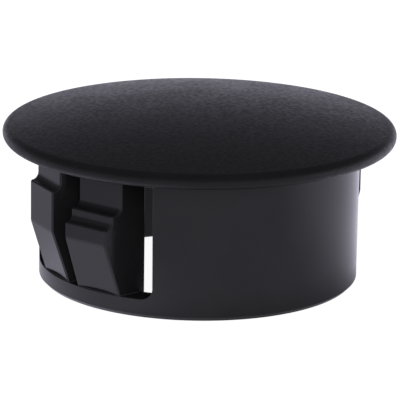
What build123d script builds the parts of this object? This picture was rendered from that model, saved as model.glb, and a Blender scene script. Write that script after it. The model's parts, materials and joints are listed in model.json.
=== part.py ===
from build123d import *
import math
import os

# Domed snap-in plug for a round hole in a panel, moulded in one piece from nylon.
# A domed head with a round rim covers the hole, and a hollow skirt goes through it.
# Two windows in the skirt, on +X and -X, each hold a pair of sprung fingers, which
# stand on the skirt's bottom ring. Their stepped shelves catch under the panel.
# +Z points up along the plug's axis, and the origin is the middle of the bottom ring.
# All lengths are in millimetres and all angles in degrees.

# The hole and the panels that the plug is made for
hole_diameter = 25.4
thinnest_panel = 2.15       # from the head down to the one-step finger's shelf
panel_step = 1.0            # each further shelf lies this much lower

# Head
rim_overlap = 2.6           # how far the head reaches past the edge of the hole
rim_thickness = 1.25        # the rim is fully round, so its radius is half of this
dome_rise = 1.5             # crown of the dome above the top of the rim
head_wall = 1.3             # at the crown and over the bore's edge; the ceiling is a low cone

# Skirt
skirt_clearance = 0.2       # between the skirt and the edge of the hole
skirt_length = 10.95        # from the underside of the head to the bottom
skirt_wall = 2.05           # under the head
skirt_draft = 0.3           # above the ring the skirt narrows downwards, and its bore widens
ring_height = 1.45          # closed ring below the windows, with a straight outer wall
lead_chamfer = 0.3          # outer edge of the bottom
bore_chamfer = 0.2          # inner edge of the bottom
ceiling_chamfer = 0.5       # between the bore and the ceiling

# Windows
window_width = 14.06        # straight across, with both sides along X
window_fillet = 0.9         # at the four corners of each window

# Fingers
pair_width = 9.2            # over both fingers, with the outer sides along X
finger_turn = 12.0          # each finger's faces are turned this far out from X
finger_gap = 0.5            # between the two fingers, on the bore side
gap_flare = 8.5             # each wall of that gap opens outwards by this angle
bore_inset = 0.25           # the fingers stand this far into the bore
tip_gap = 0.5               # free space between a finger's tip and the head
neck_clearance = 0.6        # the slim neck lies this far inside the edge of the hole
shelf_grip = 0.25           # the middle step reaches this far past the edge
band_grip = 0.95            # the outermost band reaches this far past the edge
band_height = 1.2           # straight band below the lowest shelf
ramp_ledge = 0.05           # the ramp's lower corners lie this far inside the ring's edge
shelf_fillet = 0.55         # inner corner over each shelf
finger_chamfer = 0.1        # outer edges of the fingers

hole_radius = hole_diameter / 2
head_radius = hole_radius + rim_overlap
rim_round = rim_thickness / 2
skirt_radius = hole_radius - skirt_clearance
bore_radius = skirt_radius - skirt_wall
seat_level = skirt_length
draft_slope = math.tan(math.radians(skirt_draft))
ring_radius = skirt_radius - (seat_level - ring_height) * draft_slope
reach = 2 * head_radius     # longer than anything that is cut or trimmed


def cut_corner(section, corner, size):
    """The section with the vertex nearest to the given corner chamfered."""
    return chamfer(section.vertices().sort_by_distance(corner)[0], size)


def dome_circle():
    """Radius of the dome's arc and height of its centre.

    The arc touches the round of the rim and peaks dome_rise above it.
    """
    arm = head_radius - rim_round
    lift = dome_rise + rim_round
    radius = (arm**2 + lift**2 - rim_round**2) / (2 * dome_rise)
    centre = seat_level + rim_thickness + dome_rise - radius
    return radius, centre


def shell_section():
    """Half section through head, skirt and ring: radius across, height up."""
    dome_radius, dome_centre = dome_circle()
    ceiling_radius = dome_radius - head_wall
    rim_middle = Vector(head_radius - rim_round, seat_level + rim_round)
    outward = (rim_middle - Vector(0, dome_centre)).normalized()
    crown = Vector(0, dome_centre + dome_radius)
    dome_end = Vector(0, dome_centre) + outward * dome_radius
    rim_edge = rim_middle + Vector(rim_round, 0)
    seat_edge = rim_middle - Vector(0, rim_round)
    skirt_top = Vector(skirt_radius, seat_level)
    ring_top = Vector(ring_radius, ring_height)
    ring_foot = Vector(ring_radius, 0)
    bore_foot = Vector(bore_radius + skirt_length * draft_slope, 0)
    bore_top = Vector(bore_radius, dome_centre + math.sqrt(ceiling_radius**2 - bore_radius**2))
    ceiling_top = Vector(0, dome_centre + ceiling_radius)
    section = make_face([
        RadiusArc(crown, dome_end, dome_radius),
        ThreePointArc(dome_end, rim_edge, seat_edge),
        Polyline(seat_edge, skirt_top, ring_top, ring_foot, bore_foot, bore_top, ceiling_top, crown),
    ])
    section = cut_corner(section, ring_foot, lead_chamfer)
    section = cut_corner(section, bore_foot, bore_chamfer)
    return cut_corner(section, bore_top, ceiling_chamfer)


def shell():
    """Head, skirt and bottom ring as one turned body, still without windows."""
    return revolve(Plane.XZ * shell_section(), Axis.Z)


def window_tool():
    """Block that opens the window on +X, from the ring up to the head."""
    height = seat_level - ring_height
    block = Pos(reach / 2, 0, ring_height + height / 2) * Box(reach, window_width, height)
    return fillet(block.edges().filter_by(Axis.X), window_fillet)


def gap_tool():
    """Wedge that parts the two fingers above the ring."""
    bore = bore_radius - bore_inset
    near = finger_gap / 2
    far = near + (reach - bore) * math.tan(math.radians(gap_flare))
    wall = [(0, near), (bore, near), (reach, far)]
    mirrored = [(x, -y) for x, y in reversed(wall)]
    plan = make_face(Polyline(*wall, *mirrored, close=True))
    return extrude(Pos(0, 0, ring_height) * plan, seat_level)


def finger_section(steps):
    """Section along a finger's own radius: radius across, height up.

    steps lists the radius above each shelf and the shelf's depth below the head.
    The ramp ends on top of the ring, and the root goes down inside the ring's wall.
    """
    band_radius = hole_radius + band_grip
    ramp_top = seat_level - thinnest_panel - 2 * panel_step - band_height
    corner_turn = math.degrees(math.asin(pair_width / 2 / ring_radius)) - finger_turn
    ramp_foot = ring_radius * math.cos(math.radians(corner_turn)) - ramp_ledge
    root_radius = ring_radius - skirt_wall / 2
    level = seat_level - tip_gap
    points = [(0, 0), (0, level)]
    inner_corners = []
    for radius, depth in steps:
        points.append((radius, level))
        level = seat_level - depth
        inner_corners.append((radius, level))
        points.append((radius, level))
    points += [(band_radius, level), (band_radius, ramp_top)]
    points += [(ramp_foot, ring_height), (root_radius, ring_height), (root_radius, 0)]
    section = make_face(Polyline(*points, close=True))
    for corner in inner_corners:
        section = fillet(section.vertices().sort_by_distance(corner)[0], shelf_fillet)
    return section


def stepped_edges(post):
    """Edges of a finger's outer side, above the ring."""
    neck_radius = hole_radius - neck_clearance
    return post.edges().filter_by(
        lambda edge: edge.center().Z > ring_height + finger_chamfer
        and math.hypot(edge.center().X, edge.center().Y) > neck_radius - finger_chamfer
    )


def finger(steps, side):
    """One finger of the pair on +X, on the +Y side for side 1 and on -Y for -1."""
    blade = Plane.XZ * extrude(finger_section(steps), reach, both=True)
    blade = Rot(0, 0, side * finger_turn) * blade
    half = Pos(reach / 2, side * pair_width / 4, reach / 2) * Box(reach, pair_width / 2, reach)
    bore = Cylinder(bore_radius - bore_inset, 2 * reach)
    post = (blade & half) - bore - gap_tool()
    return chamfer(stepped_edges(post), finger_chamfer)


def finger_pair():
    """The pair on +X: a two-step finger for thick panels beside a one-step finger."""
    neck_radius = hole_radius - neck_clearance
    step_radius = hole_radius + shelf_grip
    upper_step = (neck_radius, thinnest_panel + panel_step)
    lower_step = (step_radius, thinnest_panel + 2 * panel_step)
    only_step = (step_radius, thinnest_panel)
    return finger([upper_step, lower_step], 1) + finger([only_step], -1)


def hole_plug():
    """The whole plug. Each window and its pair repeat half a turn round Z."""
    plug = shell()
    window = window_tool()
    pair = finger_pair()
    for turn in (0, 180):
        plug -= Rot(0, 0, turn) * window
    for turn in (0, 180):
        plug += Rot(0, 0, turn) * pair
    return plug


os.makedirs("parts", exist_ok=True)
export_step(hole_plug(), "parts/hole_plug.step")
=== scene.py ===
import json
import math

import bpy
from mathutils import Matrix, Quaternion, Vector

# Looks of a snap-in hole plug of black nylon: camera, light, floor and the plug's material.

MM = 0.001

# Camera: it looks at a point on the plug's axis from the front left, a little above.
AIM_HEIGHT = 5.993 * MM
CAMERA_TURN = math.radians(230.15)      # counter-clockwise from +X, seen from above
CAMERA_ELEVATION = math.radians(15.83)
CAMERA_DISTANCE = 261.65 * MM
CAMERA_ROLL = math.radians(0.83)
FOCAL_LENGTH = 301.26
SENSOR_WIDTH = 36.0
SHIFT_X = 0.00335
CLIP_START = 0.01
CLIP_END = 20.0

# Light that falls on everything, and the broad lamp on the camera's side
LIGHT_LEVEL = 0.75              # from all round
FILL_POWER = 1.7
FILL_DISTANCE = 0.6
FILL_SIZE = 0.3
FILL_ELEVATION = math.radians(22)

# Surroundings that the gloss mirrors: white low down behind the plug, dimmer in front and
# overhead. BACK_ values are cosines of the angle from straight behind, on the side away from the
# camera, and SKY_ values are sines of the elevation.
BRIGHT_TURN = math.radians(35)
HORIZON_FRONT = 0.35
HORIZON_BACK = 1.0
BACK_FROM = 0.3
BACK_TO = 1.0
SKY_HIGH = 0.12
SKY_FROM = 0.0
SKY_TO = 0.34
FRONT_TINT = (0.955, 0.93, 1.11)
BACK_TINT = (0.955, 0.93, 1.1)

# Table: paint that takes the plug's shadow, and the glow that the camera and the gloss see.
# The glow grows towards the back and has a patch at the left. Next to the foot, and farther out in
# front, it carries a painted shadow of the plug.
TABLE_SIZE = 6.0
TABLE_DROP = 0.02 * MM          # keeps the plug's foot and the table from lying in one plane
TABLE_PAINT = 0.15
TABLE_SEEN = 0.95
TABLE_GLOW = 0.5
GLOW_TURN = math.radians(8)     # the glow grows in this direction
GLOW_FROM = 0.0 * MM
GLOW_TO = 24.0 * MM
GLOW_FRONT = 0.48
GLOW_BACK = 1.0
PATCH_PLACE = Vector((-16, -2, 0)) * MM
PATCH_FROM = 4.0 * MM
PATCH_TO = 16.0 * MM
PATCH_GLOW = 0.42
# Painted shadow of the plug in the glow that the gloss sees: its width at the sides and in front, and
# the share of glow left at the foot
PAINTED_SHADOW_SIDE_WIDTH = 2.4 * MM
SHADE_WIDTH = 9.0 * MM
SHADE_TURN = math.radians(265)
SHADE_FROM = 4.0 * MM
SHADE_TO = 14.0 * MM
PAINTED_SHADOW_GLOW = 0.45

# Nylon: a grained one on the head's top and rim, darker as painted shade for the weaker light from
# above, and a satin one everywhere else
# darker than the satin colour: painted shade on the head's top and rim; the grain, roughness and IOR are
# the real finish
GRAINED_PAINTED_SHADE_COLOUR = (0.0048, 0.0048, 0.005)
GRAINED_ROUGHNESS = 0.4
GRAINED_IOR = 1.34
GRAINED_DEPTH = 0.022 * MM
SATIN_COLOUR = (0.0086, 0.0086, 0.009)
SATIN_ROUGHNESS = 0.18
SATIN_IOR = 1.39
SATIN_DEPTH = 0.0035 * MM
SEAT_MARGIN = 0.02 * MM         # faces this far above the seat count as the head's top and rim
GRAIN_SIZE = 0.2 * MM
SPECKLE_SIZE = 0.32 * MM
SPECKLE_ROUGHNESS = 0.15        # share by which the roughness varies from speckle to speckle
SPECKLE_FROM = 0.3
SPECKLE_TO = 0.7
CLOUD_SIZE = 3.0 * MM
CLOUD_COLOUR = 0.08             # share by which the colour varies from cloud to cloud
CLOUD_ROUGHNESS = 0.03
CLOUD_FROM = 0.35
CLOUD_TO = 0.65
EDGE_ROUND = 0.08 * MM
EDGE_SAMPLES = 6
EDGE_WEAR_AND_HIGHLIGHT = 5.0                 # how much paler the edges are: partly wear, partly a painted edge highlight
EDGE_FROM = 0.005
EDGE_TO = 0.12


def direction(turn, elevation):
    """Unit vector at an angle from +X, seen from above, and an angle above the table."""
    level = math.cos(elevation)
    return Vector((level * math.cos(turn), level * math.sin(turn), math.sin(elevation)))


def make_camera():
    """Camera at the product's usual three-quarter view."""
    aim = Vector((0, 0, AIM_HEIGHT))
    away = direction(CAMERA_TURN, CAMERA_ELEVATION)
    data = bpy.data.cameras.new("camera")
    data.sensor_width = SENSOR_WIDTH
    data.lens = FOCAL_LENGTH
    data.shift_x = SHIFT_X
    data.clip_start = CLIP_START
    data.clip_end = CLIP_END
    camera = bpy.data.objects.new("camera", data)
    camera.location = aim + away * CAMERA_DISTANCE
    camera.rotation_mode = "QUATERNION"
    facing = (-away).to_track_quat("-Z", "Y")
    camera.rotation_quaternion = facing @ Quaternion((0, 0, 1), CAMERA_ROLL)
    bpy.context.scene.collection.objects.link(camera)
    bpy.context.scene.camera = camera


class Nodes:
    """Short calls that add nodes and link them."""

    def __init__(self, tree):
        self.tree = tree
        tree.nodes.clear()

    def add(self, kind, inputs=None, **settings):
        node = self.tree.nodes.new(kind)
        for name, value in settings.items():
            setattr(node, name, value)
        for name, value in (inputs or {}).items():
            self.feed(node.inputs[name], value)
        return node

    def feed(self, socket, value):
        if isinstance(value, bpy.types.NodeSocket):
            self.tree.links.new(value, socket)
        elif isinstance(value, tuple) and len(value) == 3 and socket.type == "RGBA":
            socket.default_value = (*value, 1)
        else:
            socket.default_value = value

    def math(self, operation, a, b=0.0):
        node = self.add("ShaderNodeMath", operation=operation)
        self.feed(node.inputs[0], a)
        self.feed(node.inputs[1], b)
        return node.outputs[0]

    def dot(self, a, b):
        node = self.add("ShaderNodeVectorMath", operation="DOT_PRODUCT")
        self.feed(node.inputs[0], a)
        self.feed(node.inputs[1], b)
        return node.outputs["Value"]

    def distance(self, a, b):
        node = self.add("ShaderNodeVectorMath", operation="DISTANCE")
        self.feed(node.inputs[0], a)
        self.feed(node.inputs[1], b)
        return node.outputs["Value"]

    def ramp(self, value, low, high, at_low=0.0, at_high=1.0):
        node = self.add("ShaderNodeMapRange", clamp=True, interpolation_type="SMOOTHSTEP")
        for name, number in (
            ("Value", value), ("From Min", low), ("From Max", high),
            ("To Min", at_low), ("To Max", at_high),
        ):
            self.feed(node.inputs[name], number)
        return node.outputs[0]

    def mix(self, factor, a, b):
        """Between two numbers, or between two colours if one of them is a colour."""
        colour = any(isinstance(x, tuple) or getattr(x, "type", "") == "RGBA" for x in (a, b))
        node = self.add("ShaderNodeMix", data_type="RGBA" if colour else "FLOAT")
        kind = "RGBA" if colour else "VALUE"
        sockets = [s for s in node.inputs if s.type == kind and s.name in ("A", "B")]
        self.feed(next(s for s in node.inputs if s.name == "Factor" and s.type == "VALUE"), factor)
        self.feed(sockets[0], a)
        self.feed(sockets[1], b)
        return next(s for s in node.outputs if s.type == kind)

    def noise(self, place, size, detail=2.0, roughness=0.5):
        node = self.add("ShaderNodeTexNoise", {
            "Vector": place, "Scale": 1 / size, "Detail": detail, "Roughness": roughness,
        })
        return node.outputs[0]

    def bump(self, height, depth, normal):
        node = self.add("ShaderNodeBump", {
            "Height": height, "Distance": depth, "Strength": 1.0, "Normal": normal,
        })
        return node.outputs[0]


def make_world():
    """Even light for surfaces, white for the camera, and shaped surroundings for the gloss."""
    world = bpy.data.worlds.new("studio")
    bpy.context.scene.world = world
    world.use_nodes = True
    n = Nodes(world.node_tree)
    toward = n.add("ShaderNodeTexCoord").outputs["Generated"]
    height = n.add("ShaderNodeSeparateXYZ", {"Vector": toward}).outputs["Z"]
    behind = n.ramp(n.dot(toward, direction(BRIGHT_TURN, 0.0)), BACK_FROM, BACK_TO)
    horizon = n.mix(behind, HORIZON_FRONT, HORIZON_BACK)
    mirrored = n.mix(n.ramp(height, SKY_FROM, SKY_TO), horizon, SKY_HIGH)
    path = n.add("ShaderNodeLightPath")
    level = n.mix(path.outputs["Is Glossy Ray"], LIGHT_LEVEL, mirrored)
    tint = n.mix(behind, FRONT_TINT, BACK_TINT)
    light = n.add("ShaderNodeBackground", {"Color": tint, "Strength": level})
    white = n.add("ShaderNodeBackground", {"Color": (1.0, 1.0, 1.0), "Strength": 1.0})
    mix = n.add("ShaderNodeMixShader")
    n.feed(mix.inputs[0], path.outputs["Is Camera Ray"])
    n.feed(mix.inputs[1], light.outputs[0])
    n.feed(mix.inputs[2], white.outputs[0])
    n.add("ShaderNodeOutputWorld", {"Surface": mix.outputs[0]})


def make_fill():
    """Broad soft lamp above the camera, which fills in the recesses and isn't mirrored."""
    data = bpy.data.lights.new("fill", "AREA")
    data.shape = "DISK"
    data.size = FILL_SIZE
    data.energy = FILL_POWER
    lamp = bpy.data.objects.new("fill", data)
    away = direction(CAMERA_TURN, FILL_ELEVATION)
    lamp.location = away * FILL_DISTANCE
    lamp.rotation_mode = "QUATERNION"
    lamp.rotation_quaternion = (-away).to_track_quat("-Z", "Y")
    lamp.visible_glossy = False
    lamp.visible_camera = False
    bpy.context.scene.collection.objects.link(lamp)


def make_floor(foot_radius):
    """White light table, on which the plug stands with a faint shadow."""
    bpy.ops.mesh.primitive_plane_add(size=TABLE_SIZE, location=(0, 0, -TABLE_DROP))
    floor = bpy.context.object
    floor.name = "floor"
    material = bpy.data.materials.new("floor")
    material.use_nodes = True
    n = Nodes(material.node_tree)
    path = n.add("ShaderNodeLightPath")
    place = n.add("ShaderNodeTexCoord").outputs["Object"]
    behind = n.ramp(n.dot(place, direction(GLOW_TURN, 0.0)), GLOW_FROM, GLOW_TO)
    patch = n.ramp(n.distance(place, PATCH_PLACE), PATCH_FROM, PATCH_TO, PATCH_GLOW, 0.0)
    # painted shadow of the plug in the mirrored glow: darker next to the foot, reaching farther out in
    # front
    from_foot = n.math("ABSOLUTE", n.math("SUBTRACT", n.distance(place, Vector()), foot_radius))
    in_front = n.dot(place, direction(SHADE_TURN, 0.0))
    width = n.ramp(in_front, SHADE_FROM, SHADE_TO, PAINTED_SHADOW_SIDE_WIDTH, SHADE_WIDTH)
    painted_shadow = n.ramp(from_foot, 0.0, width, PAINTED_SHADOW_GLOW, 1.0)
    mirrored = n.math("ADD", n.mix(behind, GLOW_FRONT, GLOW_BACK), patch)
    mirrored = n.math("MULTIPLY", mirrored, painted_shadow)
    glow = n.mix(path.outputs["Is Glossy Ray"], TABLE_GLOW, mirrored)
    glow = n.mix(path.outputs["Is Camera Ray"], glow, TABLE_SEEN)
    tint = n.mix(behind, FRONT_TINT, BACK_TINT)
    tint = n.mix(path.outputs["Is Glossy Ray"], (1.0, 1.0, 1.0), tint)
    paint = n.add("ShaderNodeBsdfDiffuse", {"Color": (TABLE_PAINT, TABLE_PAINT, TABLE_PAINT)})
    lamp = n.add("ShaderNodeEmission", {"Color": tint, "Strength": glow})
    both = n.add("ShaderNodeAddShader")
    n.feed(both.inputs[0], paint.outputs[0])
    n.feed(both.inputs[1], lamp.outputs[0])
    n.add("ShaderNodeOutputMaterial", {"Surface": both.outputs[0]})
    floor.data.materials.append(material)


def nylon(name, colour, roughness, ior, grain_depth):
    """Black nylon with a moulded grain, a slightly clouded colour and edges painted paler, partly as
    wear and partly as a painted highlight.
    """
    material = bpy.data.materials.new(name)
    material.use_nodes = True
    n = Nodes(material.node_tree)
    place = n.add("ShaderNodeTexCoord").outputs["Object"]
    grain = n.noise(place, GRAIN_SIZE)
    speckle = n.ramp(n.noise(place, SPECKLE_SIZE, 1.0), SPECKLE_FROM, SPECKLE_TO)
    cloud = n.ramp(n.noise(place, CLOUD_SIZE, 3.0, 0.55), CLOUD_FROM, CLOUD_TO)

    # Edges, concave ones too, are painted paler: partly wear, partly a painted edge highlight
    rounded = n.add("ShaderNodeBevel", {"Radius": EDGE_ROUND}, samples=EDGE_SAMPLES).outputs[0]
    turned = n.math("SUBTRACT", 1.0, n.dot(rounded, n.add("ShaderNodeNewGeometry").outputs["Normal"]))
    edge_wear_and_highlight = n.ramp(turned, EDGE_FROM, EDGE_TO)

    base = n.mix(cloud, shade(colour, 1 - CLOUD_COLOUR), shade(colour, 1 + CLOUD_COLOUR))
    base = n.mix(edge_wear_and_highlight, base, shade(colour, EDGE_WEAR_AND_HIGHLIGHT))
    rough = n.mix(speckle, roughness * (1 - SPECKLE_ROUGHNESS), roughness * (1 + SPECKLE_ROUGHNESS))
    rough = n.math("MULTIPLY", rough, n.mix(cloud, 1 - CLOUD_ROUGHNESS, 1 + CLOUD_ROUGHNESS))
    bsdf = n.add("ShaderNodeBsdfPrincipled", {
        "Base Color": base, "Roughness": rough, "Normal": n.bump(grain, grain_depth, rounded),
    })
    bsdf.inputs["IOR"].default_value = ior
    n.add("ShaderNodeOutputMaterial", {"Surface": bsdf.outputs[0]})
    return material


def shade(colour, factor):
    """The colour, made lighter or darker."""
    return tuple(channel * factor for channel in colour)


def paint_plug(plug, seat):
    """Grained nylon on the head's top and rim, darker as painted shade for the weaker light from above,
    and satin nylon everywhere else.

    seat is a point on the flat underside of the head, outside the skirt.
    """
    plug.data.materials.clear()
    satin = nylon("black_nylon_satin", SATIN_COLOUR, SATIN_ROUGHNESS, SATIN_IOR, SATIN_DEPTH)
    grained = nylon("black_nylon_grained_painted_shade", GRAINED_PAINTED_SHADE_COLOUR, GRAINED_ROUGHNESS, GRAINED_IOR, GRAINED_DEPTH)
    plug.data.materials.append(satin)
    plug.data.materials.append(grained)
    outer = math.hypot(seat[0], seat[1])
    for face in plug.data.polygons:
        above = face.center.z > seat[2] + SEAT_MARGIN
        outside = face.normal.z > 0 or face.center.xy.length > outer
        face.material_index = int(above and outside)


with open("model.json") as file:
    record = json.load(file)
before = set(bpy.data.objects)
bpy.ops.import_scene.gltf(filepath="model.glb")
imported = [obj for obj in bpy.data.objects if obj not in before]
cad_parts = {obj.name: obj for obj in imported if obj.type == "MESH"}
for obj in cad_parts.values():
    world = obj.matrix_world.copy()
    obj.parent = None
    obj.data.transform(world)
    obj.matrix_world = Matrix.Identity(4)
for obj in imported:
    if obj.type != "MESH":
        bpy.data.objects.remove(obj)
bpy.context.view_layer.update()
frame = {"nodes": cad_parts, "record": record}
bpy.context.scene.view_settings.view_transform = "Standard"
mounts = {mount["name"]: mount["pos_m"] for mount in frame["record"]["mounts"]}

make_camera()
make_world()
make_fill()
make_floor(abs(mounts["standing_face"][1]))
paint_plug(frame["nodes"]["hole_plug"], mounts["panel_seat"])
